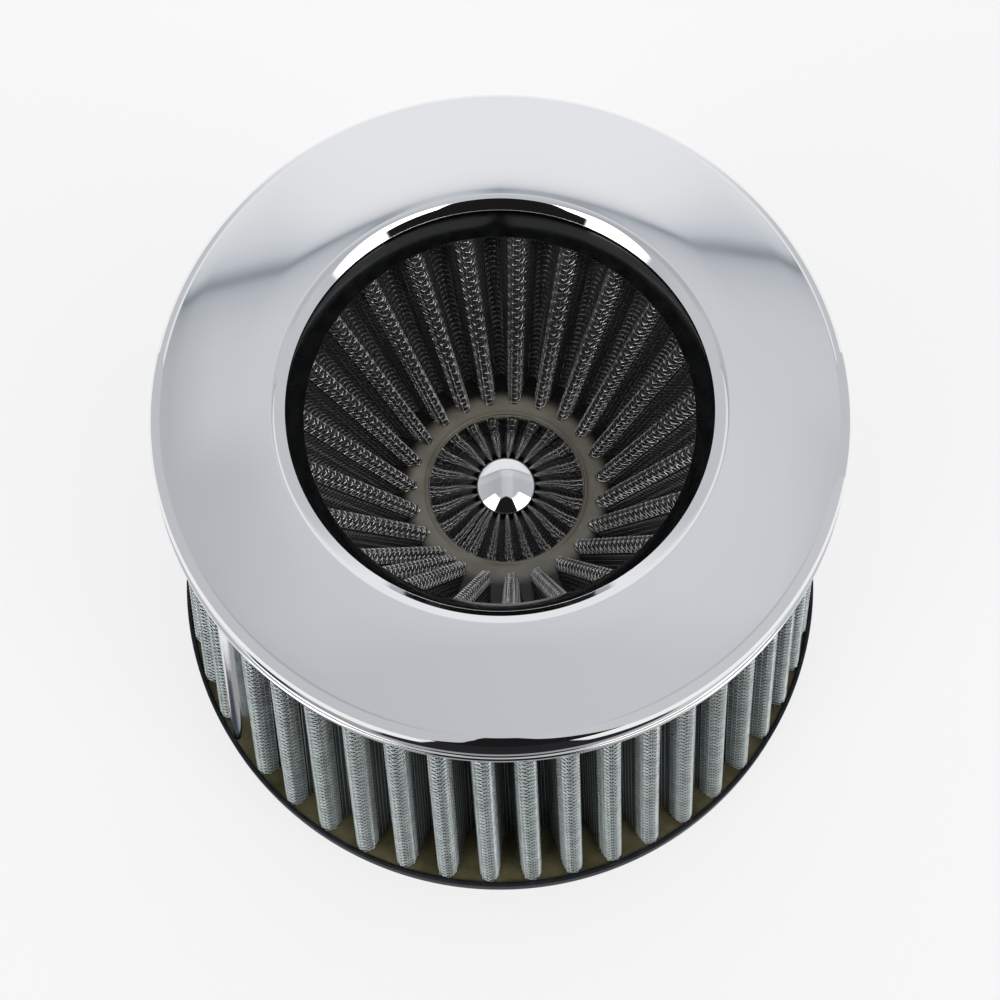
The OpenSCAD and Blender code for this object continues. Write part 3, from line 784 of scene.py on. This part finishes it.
# The folded strip over the seam pleat: its outside, its cut edges and its inside. Its section is
# the pleat's tip, which starts after the root's points, with a leg down each flank
CLIP_ROWS = 61
CLIP_TIP_STEPS = 24
CLIP_ROOT_STEPS = 3
first = CLIP_ROOT_STEPS + 1
last = first + CLIP_TIP_STEPS
rows = []
for u in np.linspace(0, 1, CLIP_ROWS):
    loops = []
    for depth in (-CLIP_GAP - CLIP_SHEET, -CLIP_GAP):
        line = outer_line(0, u, depth, CLIP_TIP_STEPS, 1, CLIP_ROOT_STEPS)
        tip_a, tip_b = line[first], line[last]
        leg_a = tip_a + (line[first - 1] - tip_a) * CLIP_LEG
        leg_b = tip_b + (line[last + 1] - tip_b) * CLIP_LEG
        loops.append(np.concatenate([[leg_a, (leg_a + tip_a) / 2], line[first:last + 1],
                                     [(leg_b + tip_b) / 2, leg_b]]))
    loop = np.concatenate([loops[0], loops[1][::-1]])
    rows.append(np.column_stack([loop, np.full(len(loop), mix((Z_HEAD, Z_RESIN), u))]))
clip = piece("seam_strip", np.concatenate(rows),
             grid_faces(CLIP_ROWS, len(rows[0]), wrap_columns=True), CLIP, "clip_aluminium",
             sharp=40)
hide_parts("outer_seam_clip")


# ---------------------------------------------------------------- CAD nodes that stay

for node, mat in (("top_potting", BASE_RESIN), ("clamp_band", STEEL), ("clamp_housing", STEEL),
                  ("clamp_screw", STEEL)):
    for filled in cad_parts[node].material_slots:
        filled.material = mat


# ---------------------------------------------------------------- floor, tent, lamps, camera

# Floor, in metres. In gloss alone it has a ring of grey close to the object, whose shade goes by
# azimuth in radians, and a dark wedge ahead of it: widening with the distance ahead, as (slope,
# start, least half-width) on either side.
FLOOR_HALF = 3.0
FLOOR_GLOW = 0.75
FLOOR_FADE = (0.5, 1.6)
NEAR_EDGE = (0.13, 0.118)
NEAR_DARK = (0.05, 0.06, 0.08)
NEAR_SHADES = ((-1.6, 0.75), (-1.18, 0.75), (-1.12, NEAR_DARK), (-0.95, NEAR_DARK),
               (-0.85, 0.34), (0.5, 0.34), (0.8, 0.58), (1.6, 0.58))
WEDGE_FROM = (0.1155, 0.1175)
WEDGE_RIGHT = (0.26, 0.02, 0.08)
WEDGE_LEFT = (0.24, 0.0144, 0.06)
WEDGE_SOFT = 0.004
WEDGE_COLOUR = (0.02, 0.02, 0.022, 1)
WHITE = (1, 1, 1, 1)


def floor_material():
    """Pale to the eye, fading to white far off, and clear to a camera below it. In gloss it is
    white, with the grey ring and the dark wedge."""
    mat, tree, shader, coords = material("pale_floor", (0.82, 0.82, 0.82), 0.0, 0.6)
    path = tree.nodes.new("ShaderNodeLightPath")
    in_gloss = path.outputs["Is Glossy Ray"]
    seen = calc(tree, "MAXIMUM", path.outputs["Is Camera Ray"], in_gloss)
    seen = calc(tree, "MAXIMUM", seen, path.outputs["Is Transmission Ray"])
    x, y, _ = separate(tree, coords)
    ahead = calc(tree, "MULTIPLY", y, -1.0)
    r = plan_radius(tree, x, ahead)

    def half_width(slope, start, least):
        return calc(tree, "MAXIMUM", calc(tree, "MULTIPLY_ADD", ahead, slope, start), least)

    right = calc(tree, "SUBTRACT", half_width(*WEDGE_RIGHT), x)
    left = calc(tree, "ADD", half_width(*WEDGE_LEFT), x)
    inside = calc(tree, "MINIMUM", calc(tree, "MINIMUM", left, right), ahead)
    wedge = calc(tree, "MULTIPLY", smooth_step(tree, r, *WEDGE_FROM),
                 smooth_step(tree, inside, -WEDGE_SOFT, WEDGE_SOFT))
    wedge = calc(tree, "MULTIPLY", wedge, in_gloss)
    near = calc(tree, "MULTIPLY", smooth_step(tree, r, *NEAR_EDGE), in_gloss)
    shade = ramp(tree, calc(tree, "ARCTAN2", x, ahead), NEAR_SHADES[0][0], NEAR_SHADES[-1][0],
                 NEAR_SHADES)
    shown = mix_colour(tree, near, WHITE, shade)
    shown = mix_colour(tree, wedge, shown, WEDGE_COLOUR)
    glow = tree.nodes.new("ShaderNodeEmission")
    put(tree, glow.inputs["Color"], shown)
    blend = tree.nodes.new("ShaderNodeMixShader")
    # Far off, the floor fades into the ground behind it
    far = mix_colour(tree, smooth_step(tree, r, *FLOOR_FADE), (FLOOR_GLOW,) * 3 + (1,), WHITE)
    share = calc(tree, "MAXIMUM", calc(tree, "MULTIPLY", seen, far),
                 calc(tree, "MAXIMUM", near, wedge))
    put(tree, blend.inputs["Fac"], share)
    tree.links.new(shader.outputs[0], blend.inputs[1])
    tree.links.new(glow.outputs[0], blend.inputs[2])
    # From below the floor is clear, so the underside shows
    clear = tree.nodes.new("ShaderNodeBsdfTransparent")
    sides = tree.nodes.new("ShaderNodeMixShader")
    backside = tree.nodes.new("ShaderNodeNewGeometry").outputs["Backfacing"]
    put(tree, sides.inputs["Fac"], calc(tree, "MULTIPLY", backside, path.outputs["Is Camera Ray"]))
    tree.links.new(blend.outputs[0], sides.inputs[1])
    tree.links.new(clear.outputs[0], sides.inputs[2])
    tree.links.new(sides.outputs[0], tree.nodes["Material Output"].inputs["Surface"])
    return mat


mesh = bpy.data.meshes.new("floor")
mesh.from_pydata([(FLOOR_HALF * x, FLOOR_HALF * y, 0)
                  for x, y in ((-1, -1), (1, -1), (1, 1), (-1, 1))], [], [(0, 1, 2, 3)])
mesh.materials.append(floor_material())
floor = add_object("floor", mesh)

# The tent, by direction: a bowed fold across its roof behind the object, bright panels either
# side of the dark gap at the front, and grey walls. Across and depth are the direction's slopes
# from straight up; azimuths and zenith angles are in degrees. The gap widens from its top's
# azimuths to its own over GAP_WIDENS, and its upper edge is GAP_ROUND lower at its ends.
FOLD_AT = 0.504
FOLD_SLANT = 0.054
FOLD_BOW = -0.2
BOW_TO = 0.6
BACK_TINT = (0.99, 0.99, 1.01)
FRONT_TINT = (0.97, 0.99, 1.03)
SEAM_TINT = (0.92, 0.99, 1.09)
GAP_TOP = (-28.0, 26.0)
GAP_AZ = (-35.0, 46.0)
GAP_WIDENS = (38.0, 52.0)
GAP_ZENITH = 14.0
GAP_ROUND = 6.0
GAP_COLOUR = (0.012, 0.011, 0.011, 1)
PANELS = ((-60.0, -14.0), (15.0, 68.0))
PANEL_ZENITH = (20.0, 95.0)
PANEL_SOFT = 3.0
PANEL_LIGHT = 3.0
WALL_AZ = (72.0, 150.0)
WALL_SOFT = 10.0
WALL_ZENITH = (36.0, 46.0)
WALL_LIGHT = (0.57, 0.58, 0.6, 1)
GROUND = (0.99, 0.99, 0.99, 1)

world = bpy.data.worlds.new("tent")
bpy.context.scene.world = world
world.use_nodes = True
tree = world.node_tree
x, y, z = separate(tree, tree.nodes.new("ShaderNodeTexCoord").outputs["Generated"])
height = calc(tree, "MAXIMUM", z, 0.02)
across = calc(tree, "DIVIDE", x, height)
depth = calc(tree, "DIVIDE", y, height)
aside = calc(tree, "MINIMUM", calc(tree, "ABSOLUTE", across), BOW_TO)
fold_line = calc(tree, "MULTIPLY_ADD", aside, FOLD_BOW,
                 calc(tree, "MULTIPLY_ADD", across, FOLD_SLANT, FOLD_AT))
past_fold = calc(tree, "SUBTRACT", depth, fold_line)


def tinted(stops, tint, seam_from):
    """Ramp stops of a grey, in a tint that turns to the seam's close to the fold."""
    out = []
    for at, grey in stops:
        near = max(0.0, 1 - abs(at) / seam_from)
        out.append((at, tuple(grey * mix((t, s), near) for t, s in zip(tint, SEAM_TINT))))
    return out


# The roof's greys before and behind the fold, whose shadow is narrower in the middle
centred = calc(tree, "SUBTRACT", 1.0,
               smooth_step(tree, calc(tree, "ABSOLUTE", across), 0.05, 0.13))
narrowed = calc(tree, "MULTIPLY", past_fold, calc(tree, "MULTIPLY_ADD", centred, 2.4, 1.0))
back = ramp(tree, narrowed, 0.0, 0.16, tinted([
    (0.0, 0.25), (0.004, 0.38), (0.010, 0.60), (0.022, 0.70), (0.040, 0.78), (0.065, 0.83),
    (0.10, 0.855), (0.16, 0.87)], BACK_TINT, 0.03))
front = ramp(tree, past_fold, -0.32, 0.0, tinted([
    (-0.32, 0.585), (-0.24, 0.59), (-0.20, 0.66), (-0.14, 0.67), (-0.065, 0.655),
    (-0.040, 0.645), (-0.022, 0.60), (-0.010, 0.54), (-0.004, 0.46), (0.0, 0.27)],
    FRONT_TINT, 0.02))
# Before the fold they also go by the slope across: low well before it and high close to it
low = ramp(tree, across, -0.8, 0.8, [
    (-0.8, 0.9), (-0.4, 0.8), (-0.18, 0.76), (-0.15, 0.79), (-0.12, 0.87), (-0.09, 0.946),
    (0.0, 1.0), (0.09, 1.03), (0.12, 1.02), (0.15, 0.99), (0.18, 0.88), (0.4, 0.85), (0.8, 0.9)])
high = ramp(tree, across, -0.8, 0.8, [
    (-0.8, 0.9), (-0.4, 0.75), (-0.18, 0.76), (-0.155, 0.96), (-0.12, 1.0), (0.12, 1.0),
    (0.15, 0.99), (0.19, 0.96), (0.4, 0.85), (0.8, 0.9)])
sideways = mix_colour(tree, smooth_step(tree, past_fold, -0.12, -0.07), low, high)
front = mix_colour(tree, 1.0, front, sideways, "MULTIPLY")
roof = mix_colour(tree, calc(tree, "GREATER_THAN", past_fold, 0.0), front, back)

# Azimuth from the front and zenith angle of the direction, in degrees
azimuth = calc(tree, "MULTIPLY", calc(tree, "ARCTAN2", x, calc(tree, "MULTIPLY", y, -1.0)),
               180 / math.pi)
zenith = calc(tree, "MULTIPLY", calc(tree, "ARCCOSINE", z), 180 / math.pi)


def between(value, low, high, soft):
    """One inside a range of a number and nought outside it, with soft edges."""
    return calc(tree, "MULTIPLY", smooth_step(tree, value, low - soft, low + soft),
                calc(tree, "SUBTRACT", 1.0, smooth_step(tree, value, high - soft, high + soft)))


panel = calc(tree, "MAXIMUM", *(between(azimuth, *span, PANEL_SOFT) for span in PANELS))
panel = calc(tree, "MULTIPLY", panel, between(zenith, *PANEL_ZENITH, PANEL_SOFT))
lower = smooth_step(tree, zenith, *GAP_WIDENS)
half_width = calc(tree, "MULTIPLY_ADD", lower,
                  (GAP_AZ[1] - GAP_AZ[0] - GAP_TOP[1] + GAP_TOP[0]) / 2,
                  (GAP_TOP[1] - GAP_TOP[0]) / 2)
centre = calc(tree, "MULTIPLY_ADD", lower, (sum(GAP_AZ) - sum(GAP_TOP)) / 2, sum(GAP_TOP) / 2)
from_centre = calc(tree, "DIVIDE", calc(tree, "SUBTRACT", azimuth, centre), half_width)
rounding = calc(tree, "MULTIPLY", calc(tree, "MULTIPLY", from_centre, from_centre), GAP_ROUND)
below_edge = smooth_step(tree, calc(tree, "SUBTRACT", zenith, rounding), GAP_ZENITH - 1,
                         GAP_ZENITH + 1)
gap = calc(tree, "MULTIPLY", below_edge, between(from_centre, -1.0, 1.0, 0.03))
walls = calc(tree, "MULTIPLY", smooth_step(tree, zenith, *WALL_ZENITH),
             between(calc(tree, "ABSOLUTE", azimuth), *WALL_AZ, WALL_SOFT))
roof = mix_colour(tree, walls, roof, WALL_LIGHT)
tent = mix_colour(tree, panel, roof, (PANEL_LIGHT,) * 3 + (1,))
tent = mix_colour(tree, gap, tent, GAP_COLOUR)
path = tree.nodes.new("ShaderNodeLightPath")
tent = mix_colour(tree, path.outputs["Is Camera Ray"], tent, GROUND)
background = tree.nodes["Background"]
put(tree, background.inputs["Color"], tent)
background.inputs["Strength"].default_value = 1.0


# The one lamp, a soft disc above the object, whose place and aim are in metres
KEY_PLACE = (0.25, 0.1, 1.3)
KEY_AIM = (0.0, 0.0, 0.1)
KEY_SIZE = 1.2
KEY_POWER = 2.0

key_data = bpy.data.lights.new("key", "AREA")
key_data.shape = "DISK"
key_data.size = KEY_SIZE
key_data.energy = KEY_POWER
key = add_object("key", key_data)
key.location = KEY_PLACE
ahead = np.array(KEY_AIM) - np.array(KEY_PLACE)
key.rotation_euler = (math.atan2(math.hypot(ahead[0], ahead[1]), -ahead[2]), 0,
                      -math.atan2(ahead[0], ahead[1]))
key.visible_glossy = False
key.visible_camera = False

# Grey cards round the left, front and right of the ring, seen only in gloss, which keep the
# tent's panels off its outer roll. Each card's lower edge is cut along points of (azimuth,
# height).
CARD_R = 80.5
CARD_TOP = 184.0
CARD_LOW = 159.8
CARD_STEPS = 120
LEFT_CUT = ((-100, CARD_LOW), (-12.5, CARD_LOW), (-10, 161.4), (-6, 162.8), (-4, 168),
            (-2.5, CARD_TOP))
RIGHT_CUT = ((2.5, CARD_TOP), (4.5, 173), (6, 168.5), (8.6, 166), (11, 164.7), (13, 163.8),
             (17, 161.8), (22, 160.3), (26, CARD_LOW), (78, CARD_LOW))
FAR_CUT = ((78, 158.5), (100, 158.5))


def card(name, cut, light):
    """An arc of glowing card between the azimuths of its cut."""
    turns = np.linspace(cut[0][0], cut[-1][0], CARD_STEPS)
    top = CARD_TOP + 0.1  # just above the highest cut, so that no face is flat
    verts, faces = [], []
    for k, (turn, z) in enumerate(zip(turns, np.interp(turns, *zip(*cut)))):
        x, y = polar(CARD_R, turn)
        verts += [(x * MM, y * MM, z * MM), (x * MM, y * MM, top * MM)]
        if k:
            faces.append((2 * k - 2, 2 * k, 2 * k + 1, 2 * k - 1))
    mesh = bpy.data.meshes.new(name)
    mesh.from_pydata(verts, [], faces)
    mat = bpy.data.materials.new(name)
    mat.use_nodes = True
    tree = mat.node_tree
    glow = tree.nodes.new("ShaderNodeEmission")
    glow.inputs["Color"].default_value = light
    tree.links.new(glow.outputs[0], tree.nodes["Material Output"].inputs["Surface"])
    mesh.materials.append(mat)
    obj = add_object(name, mesh)
    for flag in ("visible_camera", "visible_diffuse", "visible_shadow", "visible_transmission"):
        setattr(obj, flag, False)


card("left_card", LEFT_CUT, (0.56, 0.57, 0.59, 1))
card("right_card", RIGHT_CUT, (0.6, 0.61, 0.63, 1))
card("far_right_card", FAR_CUT, (0.56, 0.57, 0.59, 1))

# The photograph's camera: place in metres, and the angle by which it looks down
CAMERA_PLACE = (0, -0.16205, 0.5702)
CAMERA_DOWN = 71.19

camera_data = bpy.data.cameras.new("camera")
camera_data.lens = 72
camera_data.sensor_width = 36
camera_data.clip_start = 0.01
camera = add_object("camera", camera_data)
camera.location = CAMERA_PLACE
camera.rotation_euler = (math.radians(90 - CAMERA_DOWN), 0, 0)
bpy.context.scene.camera = camera
bpy.context.scene.view_settings.view_transform = "Standard"
